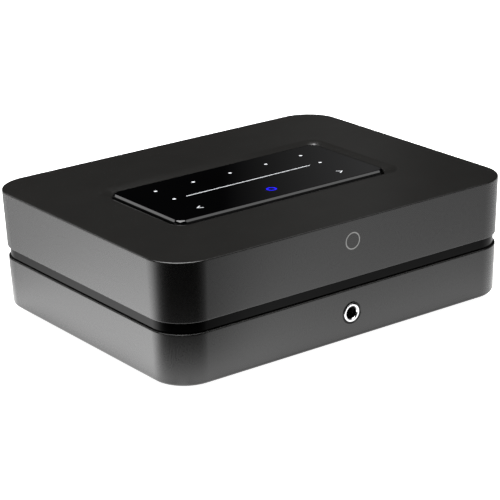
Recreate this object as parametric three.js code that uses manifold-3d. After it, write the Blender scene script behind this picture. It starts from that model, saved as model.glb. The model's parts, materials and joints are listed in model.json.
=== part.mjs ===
// Compact streaming stereo receiver with Bluetooth: two casing shells joined by a recessed waist
// band, a glass touch panel in a scooped recess, a headphone socket in front, and a connector
// panel with four speaker binding posts behind.
//
// Millimetres. +X is right seen from the front, +Y runs from front to back, +Z is up. The origin
// is under the middle of the overall box, on the surface that the feet stand on.

import * as THREE from "three";
import { mergeVertices } from "three/addons/utils/BufferGeometryUtils.js";
import Module from "manifold-3d";

// Overall size. The depth counts the binding posts, and the height counts the feet.
const WIDTH = 220;
const DEPTH = 190;
const HEIGHT = 70;

// Casing
const FRONT_Y = -DEPTH / 2; // front face, at its top edge
const BODY_DEPTH = 172;
const BACK_Y = FRONT_Y + BODY_DEPTH;
const BODY_Y = FRONT_Y + BODY_DEPTH / 2;
const CORNER_R = 21; // vertical corners, in plan
const WALL = 2.5;
const DRAFT = 2.2; // how far the sides lean in from the top edge down to the base
const BASE_Z = 5.3; // underside of the casing
const LOWER_TOP_Z = 33;
const UPPER_BOTTOM_Z = 38.7;
const BOTTOM_EDGE_R = 2.6;
const TOP_EDGE_R = 0.7;
const CEILING = 2.8; // thickness of the top
const WAIST_INSET = 1.2;
const LEDGE_INSET = 6.2; // how far the ledges that meet the waist band reach inwards
const LEDGE = 2; // thickness of those ledges
const GAP = 0.3; // clearance between neighbouring pieces
const LIP = 0.5; // chamfer of the shells' edges beside the waist
const RECESS_FRAME = 2.2; // plastic left under the recess round the touch panel

// Touch panel and the recess it stands in
const GLASS = { width: 135.6, depth: 64, radius: 5 };
const GLASS_BEVEL = 1.05;
const GLASS_TOP_Z = HEIGHT - 0.2;
const GLASS_BOTTOM_Z = 66.9;
const RECESS = { width: 148, depth: 79, radius: 9 };
const RECESS_DEPTH = 2.5;
const RECESS_CURVE = 1.5; // 1 is a straight slope, and more starts gently at the rim
const PANEL_MARGIN = 0.6; // opening round the glass
const TRAY_Z = 62.4;
const TRAY_PLATE = 2.4;

// Front features
const SOCKET_Z = 19.8;
const SOCKET_BORE_R = 3.25;
const FERRULE_R = 4.95;
const FERRULE_PROUD = 0.2;
const SURROUND_R = 5.6;
const MARK_Z = 58.8;
const MARK_R = 4.6;
const MARK_LINE = 0.7;

// Fixings
const SCREW_R = 1.5;
const SCREW_LENGTH = 50;
const BOSS_R = 4;
const SCREW_SPOTS = [-1, 1].flatMap((side) => [-78, 40].map((y) => [side * 95.5, y]));
const FOOT_SPOTS = [-1, 1].flatMap((side) => [-66, 48].map((y) => [side * 83, y]));
const FOOT_R = 10;
const STEM_R = 2.6;
const PEG_R = 3; // pegs of the base plate that carry the boards
const VENT = { pitch: 12, half: 2, length: 28, rows: [-34, 6], reach: 54 };
const LUG = { half: 4, drop: 3.2, y: 60 }; // blocks behind the rear panel that take its screws

// Boards
const BOARD_Z = 11;
const BOARD = 1.6;
const ON_BOARD_Z = BOARD_Z + BOARD + GAP;

// Rear connector panel
const PANEL_X = 91.5; // half its width
const PANEL_FACE_Y = BACK_Y - DRAFT - WALL - GAP;
const PANEL_THICK = 2;
const PANEL_Z = [BASE_Z + 2 * (LEDGE + GAP), LOWER_TOP_Z - LEDGE - GAP];
const WINDOW_X = 89;
const WINDOW_Z = [11.5, 29.5];
const PORT_Y = PANEL_FACE_Y + 1.6; // outer end of the network, USB, HDMI and mains shells
const POST_X = [-53, -37, -20, -4];
const PORT_Z = 21;
const INLET_X = -77.3;
const PIN_PITCH = 8.6;
const INLET = { half: 9.4, rise: 6, flange: 1.5, lobeR: 4.3, lobeX: 3.4, deep: 14, pinR: 1.2 };
const SUB_X = 11.5;
const SUB_R = 4.6;
const JACKS = { optical_analogue_jack: 24.5, infrared_input_jack: 34.5 };
const JACK_R = 3.8;
const JACK_Z = ON_BOARD_Z + 4.5;
const HDMI_X = 47.5;
const HDMI = { half: 7.5, height: 6.2 };
const USB_X = 63;
const USB = { half: 6.6, height: 5.9 };
const LAN_X = 78.3;
const LAN = { half: 8, height: 13.5, deep: 15 };
const PANEL_SCREWS = [[-62.7, 26], [HDMI_X, 26]];

// Binding posts, measured outwards from the panel's face
const POST = {
  studR: 2.5,
  bananaR: 2.05,
  neckR: 4,
  collarR: 6.5,
  washerR: 5.3,
  capR: 5.9,
  capBottom: 5.9,
  tip: DEPTH / 2 - PANEL_FACE_Y,
};

const wasm = await Module();
wasm.setup();

// ---------------------------------------------------------------- solids

function solid(geometry) {
  const bare = geometry.clone();
  bare.deleteAttribute("normal");
  bare.deleteAttribute("uv");
  const merged = mergeVertices(bare, 1e-4);
  return new wasm.Manifold(new wasm.Mesh({
    numProp: 3,
    vertProperties: new Float32Array(merged.attributes.position.array),
    triVerts: new Uint32Array(merged.index.array),
  }));
}

function geometryOf(manifold) {
  const { vertProperties, triVerts } = manifold.getMesh();
  const indexed = new THREE.BufferGeometry()
    .setAttribute("position", new THREE.BufferAttribute(vertProperties, 3))
    .setIndex(new THREE.BufferAttribute(triVerts, 1));
  const geometry = indexed.toNonIndexed();
  geometry.computeVertexNormals();
  return geometry;
}

// A box between two opposite corners.
function block([x0, x1], [y0, y1], [z0, z1]) {
  const box = new THREE.BoxGeometry(x1 - x0, y1 - y0, z1 - z0);
  return solid(box.translate((x0 + x1) / 2, (y0 + y1) / 2, (z0 + z1) / 2));
}

// A turned piece: profile points are [radius, distance along the axis].
function turned(profile, axis, [x, y, z] = [0, 0, 0], sides = 16) {
  const points = profile.map(([r, t]) => new THREE.Vector2(r, t));
  if (profile[0][0] > 0) points.push(points[0].clone());
  const lathe = new THREE.LatheGeometry(points, sides); // turned about Y
  if (axis === "z") lathe.rotateX(Math.PI / 2);
  return solid(lathe.translate(x, y, z));
}

function rod(radius, [t0, t1], axis, place, sides = 16) {
  return turned([[0, t0], [radius, t0], [radius, t1], [0, t1]], axis, place, sides);
}

function tube(outer, inner, [t0, t1], axis, place, sides = 16) {
  return turned([[inner, t0], [outer, t0], [outer, t1], [inner, t1]], axis, place, sides);
}

// The points of a rounded rectangle, anticlockwise seen from above.
const CORNER_STEPS = 6;
function outline({ width, depth, radius }) {
  const points = [];
  for (const [sx, sy, start] of [[1, 1, 0], [-1, 1, 1], [-1, -1, 2], [1, -1, 3]]) {
    for (let i = 0; i <= CORNER_STEPS; i++) {
      const angle = (start + i / CORNER_STEPS) * (Math.PI / 2);
      points.push([
        sx * (width / 2 - radius) + radius * Math.cos(angle),
        sy * (depth / 2 - radius) + radius * Math.sin(angle),
      ]);
    }
  }
  return points;
}

// A solid through rounded rectangles stacked upwards, each with its own size and height.
function stack(rings) {
  const outlines = rings.map(outline);
  const count = outlines[0].length;
  const positions = outlines.flatMap((points, k) =>
    points.flatMap(([x, y]) => [x, y + BODY_Y, rings[k].z]));
  const triangles = [];
  for (let k = 0; k + 1 < rings.length; k++) {
    for (let i = 0; i < count; i++) {
      const j = (i + 1) % count;
      const [a, b, c, d] = [k * count + i, k * count + j, (k + 1) * count + i, (k + 1) * count + j];
      triangles.push(a, b, d, a, d, c);
    }
  }
  const last = (rings.length - 1) * count;
  for (let i = 1; i + 1 < count; i++) {
    triangles.push(0, i + 1, i);
    triangles.push(last, last + i, last + i + 1);
  }
  const geometry = new THREE.BufferGeometry()
    .setAttribute("position", new THREE.Float32BufferAttribute(positions, 3))
    .setIndex(triangles);
  return solid(geometry);
}

// How far the casing's sides have leaned in at a height.
function draftAt(z) {
  return (DRAFT * (HEIGHT - TOP_EDGE_R - z)) / (HEIGHT - BASE_Z);
}

const SOCKET_FACE_Y = FRONT_Y + draftAt(SOCKET_Z);
const MARK_FACE_Y = FRONT_Y + draftAt(MARK_Z);

// The casing's outline at a height, moved inwards by an inset.
function casing(inset, z) {
  const inwards = inset + draftAt(z);
  return {
    width: WIDTH - 2 * inwards,
    depth: BODY_DEPTH - 2 * inwards,
    radius: CORNER_R - inwards,
    z,
  };
}

function casingSlab(inset, z0, z1) {
  return stack([casing(inset, z0), casing(inset, z1)]);
}

// A rounded rectangle grown by a margin on every side.
function grown({ width, depth, radius }, margin, z) {
  return { width: width + 2 * margin, depth: depth + 2 * margin, radius: radius + margin, z };
}

function sum(first, ...others) {
  return others.reduce((whole, piece) => whole.add(piece), first);
}

function cut(whole, ...tools) {
  return tools.reduce((rest, tool) => rest.subtract(tool), whole);
}

// Rings of a quarter-round edge: "bottom" grows upwards, "top" shrinks upwards.
function quarterRound(radius, z, edge, steps = 3) {
  return Array.from({ length: steps + 1 }, (_, i) => {
    const angle = (i / steps) * (Math.PI / 2);
    const inset = radius * (1 - (edge === "bottom" ? Math.sin(angle) : Math.cos(angle)));
    const rise = radius * (edge === "bottom" ? 1 - Math.cos(angle) : Math.sin(angle) - 1);
    return casing(inset, z + rise);
  });
}

// ---------------------------------------------------------------- materials

function finish(color, roughness, metalness = 0) {
  return () => new THREE.MeshStandardMaterial({ color, roughness, metalness });
}

const satinBlack = finish(0x1c1b1a, 0.35);
const deepBlack = finish(0x0a0a0a, 0.5);
const darkSteel = finish(0x2a2a2c, 0.45, 0.8);
const rubber = finish(0x141414, 0.85);
const blackGlass = finish(0x020203, 0.05);
const chrome = finish(0xd8d8da, 0.12, 1);
const nickel = finish(0xb9b9b4, 0.25, 1);
const gold = finish(0xd0a848, 0.25, 1);
const aluminium = finish(0x9a9ca0, 0.4, 1);
const screwSteel = finish(0x4a4a4c, 0.35, 1);
const paleMark = finish(0xb8b8b8, 0.4);
const redCap = finish(0x8e1216, 0.3);
const blackCap = finish(0x101010, 0.3);
const portBlack = finish(0x121212, 0.5);
const boardGreen = finish(0x173a24, 0.5);
const boardBlack = finish(0x15171a, 0.5);
const ferrite = finish(0x2c2e31, 0.8);
const windingTape = finish(0xc8a83c, 0.6);
const sleeveBlack = finish(0x16181c, 0.4);
const filmAmber = finish(0xb07a28, 0.4);

const receiver = new THREE.Group();

function piece(name, manifold, material, parent = receiver) {
  const mesh = new THREE.Mesh(geometryOf(manifold), material());
  mesh.name = name;
  parent.add(mesh);
}

// ---------------------------------------------------------------- casing

function recessCutter() {
  const steps = 5;
  const floor = grown(GLASS, PANEL_MARGIN);
  const rings = Array.from({ length: steps + 1 }, (_, i) => {
    const t = i / steps;
    const drop = t ** RECESS_CURVE;
    const mix = (key) => RECESS[key] + (floor[key] - RECESS[key]) * t;
    const z = HEIGHT - drop * RECESS_DEPTH;
    return { width: mix("width"), depth: mix("depth"), radius: mix("radius"), z };
  });
  rings.unshift({ ...RECESS, z: HEIGHT + 1 });
  return stack(rings.reverse());
}

function upperShell() {
  const ceiling = HEIGHT - CEILING;
  const frameFloor = HEIGHT - RECESS_DEPTH - RECESS_FRAME;
  const outer = stack([
    casing(LIP, UPPER_BOTTOM_Z),
    casing(0, UPPER_BOTTOM_Z + LIP),
    ...quarterRound(TOP_EDGE_R, HEIGHT, "top"),
  ]);
  const frame = stack([grown(RECESS, 3, frameFloor), grown(RECESS, 3, ceiling + 0.1)]);
  const cavity = casingSlab(WALL, UPPER_BOTTOM_Z + LEDGE, ceiling).subtract(frame);
  const mouth = casingSlab(LEDGE_INSET, UPPER_BOTTOM_Z - 1, UPPER_BOTTOM_Z + LEDGE + 0.1);
  const opening = stack([grown(GLASS, PANEL_MARGIN, 60), grown(GLASS, PANEL_MARGIN, HEIGHT)]);
  const shell = cut(outer, cavity, mouth, recessCutter(), opening, markGroove());
  const bosses = SCREW_SPOTS.map(([x, y]) =>
    rod(BOSS_R, [LOWER_TOP_Z + GAP, ceiling + 1], "z", [x, y, 0], 10));
  const bores = SCREW_SPOTS.map(([x, y]) =>
    rod(SCREW_R + GAP, [LOWER_TOP_Z, BASE_Z + SCREW_LENGTH + 3], "z", [x, y, 0], 8));
  return cut(sum(shell, ...bosses), ...bores);
}

function waistBand() {
  const z = [LOWER_TOP_Z + GAP, UPPER_BOTTOM_Z - GAP];
  const band = casingSlab(WAIST_INSET, ...z);
  return cut(band, casingSlab(LEDGE_INSET - 0.6, z[0] - 1, z[1] + 1));
}

function lowerShell() {
  const plateSeat = BASE_Z + LEDGE + GAP;
  const outer = stack([
    ...quarterRound(BOTTOM_EDGE_R, BASE_Z, "bottom"),
    casing(0, LOWER_TOP_Z - LIP),
    casing(LIP, LOWER_TOP_Z),
  ]);
  const shell = cut(
    outer,
    casingSlab(WALL, plateSeat + LEDGE, LOWER_TOP_Z - LEDGE),
    casingSlab(LEDGE_INSET, BASE_Z - 1, LOWER_TOP_Z + 1),
    casingSlab(WALL + 1, BASE_Z - 1, plateSeat),
  );
  const tubes = SCREW_SPOTS.flatMap(([x, y]) => [
    rod(BOSS_R, [plateSeat, LOWER_TOP_Z], "z", [x, y, 0], 10),
    block([Math.sign(x) * 98, Math.sign(x) * 106.5].sort((a, b) => a - b), [y - 1.5, y + 1.5],
      [plateSeat, LOWER_TOP_Z]),
  ]);
  const lugs = PANEL_SCREWS.map(([x, z]) => {
    const across = [x - LUG.half, x + LUG.half];
    return sum(
      block(across, [LUG.y, PANEL_FACE_Y - PANEL_THICK - GAP], [z - LUG.drop, LOWER_TOP_Z]),
      block(across, [LUG.y, BACK_Y - DRAFT - 1], [LOWER_TOP_Z - LEDGE, LOWER_TOP_Z]),
    );
  });
  const bores = SCREW_SPOTS.map(([x, y]) => rod(SCREW_R + GAP, [0, 40], "z", [x, y, 0], 8));
  const lugBores = PANEL_SCREWS.map(([x, z]) => rod(SCREW_R + GAP, [50, BACK_Y], "y", [x, 0, z], 8));
  const window = block([-WINDOW_X, WINDOW_X], [PANEL_FACE_Y + 0.1, BACK_Y + 1], WINDOW_Z);
  const socketHole = rod(SURROUND_R + GAP, [FRONT_Y, SOCKET_FACE_Y + WALL + 1], "y", [0, 0, SOCKET_Z], 16);
  return cut(sum(shell, ...tubes, ...lugs), ...bores, ...lugBores, window, socketHole);
}

function basePlate() {
  const top = BASE_Z + LEDGE;
  const plate = casingSlab(WALL + 1 + GAP, BASE_Z, top);
  const seats = [
    [-86, -48], [-24, -72], [-24, 2], [-68, 58], [-8, -82], [84, -82], [86, 20], [-52, 58], [6, 58],
  ];
  const pegs = seats.map(([x, y]) => rod(PEG_R, [top - 0.5, BOARD_Z - GAP], "z", [x, y, 0], 8));
  const slots = [];
  for (const y of VENT.rows) {
    const along = [y - VENT.length / 2, y + VENT.length / 2];
    for (let x = -VENT.reach; x <= VENT.reach; x += VENT.pitch) {
      slots.push(block([x - VENT.half, x + VENT.half], along, [BASE_Z - 1, top + 1]));
    }
  }
  const screwHoles = SCREW_SPOTS.map(([x, y]) => rod(SCREW_R + GAP, [0, 12], "z", [x, y, 0], 8));
  const stemHoles = FOOT_SPOTS.map(([x, y]) => rod(STEM_R + GAP, [0, 12], "z", [x, y, 0], 10));
  return cut(sum(plate, ...pegs), ...slots, ...screwHoles, ...stemHoles);
}

function addFeet() {
  const pad = [[0, 0], [FOOT_R - 1, 0], [FOOT_R, 1], [FOOT_R, BASE_Z - GAP]];
  const stem = [[STEM_R, BASE_Z - GAP], [STEM_R, BASE_Z + 3], [1.6, BASE_Z + 4], [0, BASE_Z + 4]];
  FOOT_SPOTS.forEach(([x, y], i) =>
    piece(`foot_${i + 1}`, turned([...pad, ...stem], "z", [x, y, 0], 16), rubber));
}

// A pan-head screw along an axis, its head's seat at the origin and its shank on the positive side.
function screw(length, axis, place, direction = 1) {
  const head = [[0, -2], [2.2, -2], [2.8, -1.2], [2.8, -GAP]];
  const profile = [...head, [SCREW_R, -GAP], [SCREW_R, length], [0, length]];
  const turn = profile.map(([r, t]) => [r, t * direction]);
  return turned(direction > 0 ? turn : turn.reverse(), axis, place, 8);
}

function addScrews() {
  SCREW_SPOTS.forEach(([x, y], i) =>
    piece(`case_screw_${i + 1}`, screw(SCREW_LENGTH, "z", [x, y, BASE_Z]), screwSteel));
  PANEL_SCREWS.forEach(([x, z], i) =>
    piece(`panel_screw_${i + 1}`, screw(9, "y", [x, PANEL_FACE_Y, z], -1), screwSteel));
}

// ---------------------------------------------------------------- touch panel

function touchGlass() {
  return stack([
    grown(GLASS, 0, GLASS_BOTTOM_Z),
    grown(GLASS, 0, GLASS_TOP_Z - GLASS_BEVEL),
    grown(GLASS, -GLASS_BEVEL, GLASS_TOP_Z),
  ]);
}

function touchTray() {
  const top = TRAY_Z + TRAY_PLATE;
  const plate = stack([grown(GLASS, 6, TRAY_Z), grown(GLASS, 6, top)]);
  const step = stack([grown(GLASS, -1, top - 0.5), grown(GLASS, -1, GLASS_BOTTOM_Z - GAP)]);
  const light = block([-50, 50], [BODY_Y - 22, BODY_Y + 22], [TRAY_Z - 1, TRAY_Z + 1]);
  return cut(sum(plate, step), light);
}

function touchBoard() {
  return block([-60, 60], [BODY_Y - 26, BODY_Y + 26], [TRAY_Z - GAP - BOARD, TRAY_Z - GAP]);
}

// A flat flexible strip from the touch board down to the main board.
function touchRibbon() {
  const line = new THREE.CubicBezierCurve(
    new THREE.Vector2(-30, TRAY_Z - BOARD - 2 * GAP - 0.3),
    new THREE.Vector2(-30, 45),
    new THREE.Vector2(-52, 40),
    new THREE.Vector2(-52, ON_BOARD_Z),
  );
  const points = line.getPoints(14);
  const half = 0.2;
  const side = (offset) => points.map((p, i) => {
    const tangent = line.getTangent(i / 14);
    return new THREE.Vector2(p.x - tangent.y * offset, p.y + tangent.x * offset);
  });
  const strip = new THREE.Shape([...side(half), ...side(-half).reverse()]);
  const ribbon = new THREE.ExtrudeGeometry(strip, { depth: 12, bevelEnabled: false, steps: 1 });
  // The outline is drawn in Y and Z: turn it so that the extrusion runs along X.
  ribbon.applyMatrix4(new THREE.Matrix4().makeBasis(
    new THREE.Vector3(0, 1, 0),
    new THREE.Vector3(0, 0, 1),
    new THREE.Vector3(1, 0, 0),
  ));
  return solid(ribbon.translate(14, 0, 0));
}

// ---------------------------------------------------------------- front

function markRing(outer, inner, [y0, y1]) {
  return tube(outer, inner, [y0, y1], "y", [0, 0, MARK_Z], 24);
}

function markGroove() {
  return markRing(MARK_R + GAP, MARK_R - MARK_LINE - GAP, [FRONT_Y - 1, MARK_FACE_Y + 1.2]);
}

function headphoneJack() {
  const [front, back] = [SOCKET_FACE_Y + WALL + 2 * GAP, SOCKET_FACE_Y + 31];
  const body = block([-8, 8], [front, back], [ON_BOARD_Z, 2 * SOCKET_Z - ON_BOARD_Z]);
  return cut(body, rod(SOCKET_BORE_R, [FRONT_Y, back - 3], "y", [0, 0, SOCKET_Z], 20));
}

function jackFerrule() {
  const face = SOCKET_FACE_Y - FERRULE_PROUD;
  const back = SOCKET_FACE_Y + WALL;
  const profile = [
    [SOCKET_BORE_R, face + 0.8], [SOCKET_BORE_R + 0.8, face], [FERRULE_R - 0.25, face],
    [FERRULE_R, face + 0.25], [FERRULE_R, back], [SOCKET_BORE_R, back],
  ];
  return turned(profile, "y", [0, 0, SOCKET_Z], 20);
}

function jackSurround() {
  const length = [SOCKET_FACE_Y + 0.1, SOCKET_FACE_Y + WALL];
  return tube(SURROUND_R, FERRULE_R + GAP, length, "y", [0, 0, SOCKET_Z], 20);
}

// ---------------------------------------------------------------- rear panel and ports

function rearPanel() {
  const [back, face] = [PANEL_FACE_Y - PANEL_THICK, PANEL_FACE_Y];
  const through = [back - 1, face + 1];
  const plate = block([-PANEL_X, PANEL_X], [back, face], PANEL_Z);
  const round = (x, z, r) => rod(r + GAP, through, "y", [x, 0, z], 16);
  const square = (x, halfWidth, z0, z1) =>
    block([x - halfWidth - GAP, x + halfWidth + GAP], through, [z0 - GAP, z1 + GAP]);
  return cut(
    plate,
    ...POST_X.map((x) => round(x, PORT_Z, POST.neckR)),
    ...PANEL_SCREWS.map(([x, z]) => round(x, z, SCREW_R)),
    ...Object.values(JACKS).map((x) => round(x, JACK_Z, JACK_R)),
    round(SUB_X, PORT_Z, SUB_R),
    square(INLET_X, INLET.half, PORT_Z - INLET.rise, PORT_Z + INLET.rise),
    square(HDMI_X, HDMI.half, ON_BOARD_Z, ON_BOARD_Z + HDMI.height),
    square(USB_X, USB.half, ON_BOARD_Z, ON_BOARD_Z + USB.height),
    square(LAN_X, LAN.half, ON_BOARD_Z, ON_BOARD_Z + LAN.height),
  );
}

function mainsInlet() {
  const y = [50, PORT_Y];
  const { half, rise, flange: rim, lobeR, lobeX, deep, pinR } = INLET;
  const slab = (margin, span) => {
    const [x, z] = [half + margin, rise + margin];
    return block([INLET_X - x, INLET_X + x], span, [PORT_Z - z, PORT_Z + z]);
  };
  const body = slab(0, y);
  const flange = slab(rim, [PANEL_FACE_Y + GAP, y[1]]);
  const mouth = [y[1] - deep, y[1] + 1];
  const lobes = [-1, 1].map((side) =>
    rod(lobeR, mouth, "y", [INLET_X + side * lobeX, 0, PORT_Z], 16));
  const middle = block([INLET_X - lobeX, INLET_X + lobeX], mouth, [PORT_Z - lobeR, PORT_Z + lobeR]);
  const pinHoles = [-1, 1].map((side) =>
    rod(pinR + GAP, [y[0] - 1, mouth[0] + 1], "y", [INLET_X + (side * PIN_PITCH) / 2, 0, PORT_Z], 12));
  return cut(sum(body, flange), ...lobes, middle, ...pinHoles);
}

function addInletPins() {
  const { pinR } = INLET;
  const root = PORT_Y - 26.6;
  const tip = PORT_Y - 2.8;
  const profile = [[0, root], [pinR, root], [pinR, tip - 0.8], [pinR - 0.4, tip], [0, tip]];
  [-1, 1].forEach((side, i) => piece(
    `inlet_pin_${i + 1}`,
    turned(profile, "y", [INLET_X + (side * PIN_PITCH) / 2, 0, PORT_Z], 12),
    nickel,
  ));
}

function hdmiPort() {
  const [z0, z1] = [ON_BOARD_Z, ON_BOARD_Z + HDMI.height];
  const body = block([HDMI_X - HDMI.half, HDMI_X + HDMI.half], [60, PORT_Y], [z0, z1]);
  const mouth = block([HDMI_X - 7, HDMI_X + 7], [62, PORT_Y + 1], [z0 + 2, z1 - 0.5]);
  const chin = block([HDMI_X - 5.2, HDMI_X + 5.2], [62, PORT_Y + 1], [z0 + 0.6, z1 - 0.5]);
  const tongue = block([HDMI_X - 5.9, HDMI_X + 5.9], [61, PORT_Y - 1.2], [z0 + 3.1, z0 + 4]);
  return sum(cut(body, mouth, chin), tongue);
}

function usbPort() {
  const [z0, z1] = [ON_BOARD_Z, ON_BOARD_Z + USB.height];
  const body = block([USB_X - USB.half, USB_X + USB.half], [58, PORT_Y], [z0, z1]);
  const mouth = block([USB_X - 6.2, USB_X + 6.2], [60, PORT_Y + 1], [z0 + 0.4, z1 - 0.4]);
  const tongue = block([USB_X - 5.5, USB_X + 5.5], [59, PORT_Y - 1], [z1 - 2.9, z1 - 1]);
  return sum(cut(body, mouth), tongue);
}

function lanPort() {
  const [z0, z1] = [ON_BOARD_Z, ON_BOARD_Z + LAN.height];
  const body = block([LAN_X - LAN.half, LAN_X + LAN.half], [51, PORT_Y], [z0, z1]);
  const inside = [PORT_Y - LAN.deep, PORT_Y + 1];
  const mouth = block([LAN_X - 5.9, LAN_X + 5.9], inside, [z0 + 4, z1 - 1.4]);
  const latch = block([LAN_X - 3, LAN_X + 3], inside, [z0 + 1.2, z1 - 2]);
  return cut(body, mouth, latch);
}

function subOutput() {
  const at = PANEL_FACE_Y;
  const profile = [
    [1.7, at - 8], [SUB_R, at - 8], [SUB_R, at + GAP], [5.4, at + GAP], [5.4, at + 1.5], [4.15, at + 1.5],
    [4.15, at + 8.5], [3.7, at + 8.5], [3.7, at + 1], [2.9, at + 1], [2.9, at + 7.5], [1.7, at + 7.5],
  ];
  return turned(profile, "y", [SUB_X, 0, PORT_Z], 16);
}

function miniJack(x) {
  const rise = JACK_Z - ON_BOARD_Z;
  const length = [54, PANEL_FACE_Y - PANEL_THICK - GAP];
  const body = block([x - rise, x + rise], length, [ON_BOARD_Z, JACK_Z + rise]);
  const nose = rod(JACK_R, [60, PANEL_FACE_Y + 0.8], "y", [x, 0, JACK_Z], 16);
  return cut(sum(body, nose), rod(1.8, [56, BACK_Y], "y", [x, 0, JACK_Z], 12));
}

function bindingPost(x, number, cap) {
  const post = new THREE.Group();
  post.position.set(x, PANEL_FACE_Y, PORT_Z);
  receiver.add(post);
  const { studR, bananaR, neckR, collarR, washerR, capR, capBottom, tip } = POST;
  const collar = turned([
    [studR + GAP, -4.5], [neckR, -4.5], [neckR, GAP], [collarR, GAP],
    [collarR, 3.8], [collarR - 0.7, 4.5], [studR + GAP, 4.5],
  ], "y", undefined, 16);
  const shank = turned([
    [0, -13], [studR, -13], [studR, tip - 0.4], [bananaR, tip - 0.4], [bananaR, 8], [0, 8],
  ], "y", undefined, 12);
  const stud = cut(shank, block([-1, 1], [5.6, 7.4], [-4, 4]));
  const washer = tube(washerR, studR + GAP, [4.8, 5.6], "y", undefined, 12);
  const grip = turned([
    [studR + GAP, capBottom], [capR, capBottom], [capR, tip - 0.8], [capR - 0.8, tip], [studR + GAP, tip],
  ], "y", undefined, 16);
  const flutes = Array.from({ length: 8 }, (_, i) => {
    const angle = ((i + 0.5) / 8) * 2 * Math.PI;
    const place = [(capR + 0.5) * Math.cos(angle), 0, (capR + 0.5) * Math.sin(angle)];
    return rod(1.2, [capBottom + 3, tip + 1], "y", place, 6);
  });
  piece(`post_collar_${number}`, collar, portBlack, post);
  piece(`post_stud_${number}`, stud, gold, post);
  piece(`post_washer_${number}`, washer, gold, post);
  piece(`post_cap_${number}`, cut(grip, ...flutes), cap, post);
}

// ---------------------------------------------------------------- boards and what they carry

// A flat board from an outline of [x, y] corners.
function board(corners) {
  const shape = new THREE.Shape(corners.map(([x, y]) => new THREE.Vector2(x, y)));
  const slab = new THREE.ExtrudeGeometry(shape, { depth: BOARD, bevelEnabled: false });
  return solid(slab.translate(0, 0, BOARD_Z));
}

function mainBoard() {
  return board([[-14, -88], [90.5, -88], [90.5, 64], [-58, 64], [-58, 14], [-14, 14]]);
}

function powerBoard() {
  return board([[-90.5, -80], [-18, -80], [-18, 8], [-63, 8], [-63, 64], [-90.5, 64]]);
}

function heatsink() {
  const base = block([-50, -4], [16, 40], [ON_BOARD_Z, ON_BOARD_Z + 4]);
  const fins = Array.from({ length: 8 }, (_, i) => {
    const x = -50 + i * 6.3;
    return block([x, x + 1.9], [16, 40], [ON_BOARD_Z + 3, ON_BOARD_Z + 24]);
  });
  return sum(base, ...fins);
}

function transformer() {
  const core = block([-60, -26], [-36, -8], [ON_BOARD_Z + 5, ON_BOARD_Z + 27]);
  const bobbin = block([-54, -32], [-40, -4], [ON_BOARD_Z, ON_BOARD_Z + 24]);
  return sum(core, bobbin);
}

function capacitor(x, y) {
  const z = ON_BOARD_Z;
  const profile = [
    [0, z], [10.2, z], [11, z + 0.8], [11, z + 2.4], [10.4, z + 3.2], [11, z + 4],
    [11, z + 35], [9.6, z + 36], [0, z + 36],
  ];
  return turned(profile, "z", [x, y, 0], 14);
}

function choke(x, y) {
  return tube(7, 2.4, [ON_BOARD_Z, ON_BOARD_Z + 13], "z", [x, y, 0], 14);
}

function shieldCan() {
  return block([18, 58], [-40, 0], [ON_BOARD_Z, ON_BOARD_Z + 5]);
}

function wirelessModule() {
  return block([64, 86], [-60, -28], [ON_BOARD_Z, ON_BOARD_Z + 2.6]);
}

function addInside() {
  piece("main_board", mainBoard(), boardGreen);
  piece("power_board", powerBoard(), boardGreen);
  piece("amplifier_heatsink", heatsink(), aluminium);
  piece("processor_shield", shieldCan(), nickel);
  piece("wireless_module", wirelessModule(), nickel);
  piece("power_transformer", transformer(), windingTape);
  [[-74, -62], [-46, -62]].forEach((spot, i) =>
    piece(`bulk_capacitor_${i + 1}`, capacitor(...spot), sleeveBlack));
  [[-44, 48], [-12, 48]].forEach((spot, i) =>
    piece(`output_choke_${i + 1}`, choke(...spot), ferrite));
  const wallY = FRONT_Y + DRAFT + WALL + GAP;
  const wallX = WIDTH / 2 - DRAFT - WALL - GAP;
  piece("antenna_1", block([44, 84], [wallY, wallY + 1], [46, 56]), boardBlack);
  piece("antenna_2", block([wallX - 1, wallX], [-14, 26], [46, 56]), boardBlack);
}

// ---------------------------------------------------------------- assembly

piece("upper_shell", upperShell(), satinBlack);
piece("waist_band", waistBand(), deepBlack);
piece("lower_shell", lowerShell(), satinBlack);
piece("base_plate", basePlate(), deepBlack);
addFeet();
addScrews();
piece("touch_glass", touchGlass(), blackGlass);
piece("touch_tray", touchTray(), deepBlack);
piece("touch_board", touchBoard(), boardBlack);
piece("touch_ribbon", touchRibbon(), filmAmber);
piece("front_mark", markRing(MARK_R, MARK_R - MARK_LINE, [MARK_FACE_Y, MARK_FACE_Y + 0.9]), paleMark);
piece("headphone_jack", headphoneJack(), portBlack);
piece("jack_ferrule", jackFerrule(), chrome);
piece("jack_surround", jackSurround(), darkSteel);
piece("rear_panel", rearPanel(), darkSteel);
piece("mains_inlet", mainsInlet(), portBlack);
addInletPins();
piece("hdmi_port", hdmiPort(), nickel);
piece("usb_port", usbPort(), nickel);
piece("lan_port", lanPort(), nickel);
piece("sub_output", subOutput(), portBlack);
Object.entries(JACKS).forEach(([name, x]) => piece(name, miniJack(x), portBlack));
POST_X.forEach((x, i) => bindingPost(x, i + 1, i % 2 ? blackCap : redCap));
addInside();

export default receiver;
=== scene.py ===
import json
import math

import bmesh
import bpy
from mathutils import Matrix, Vector


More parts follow.
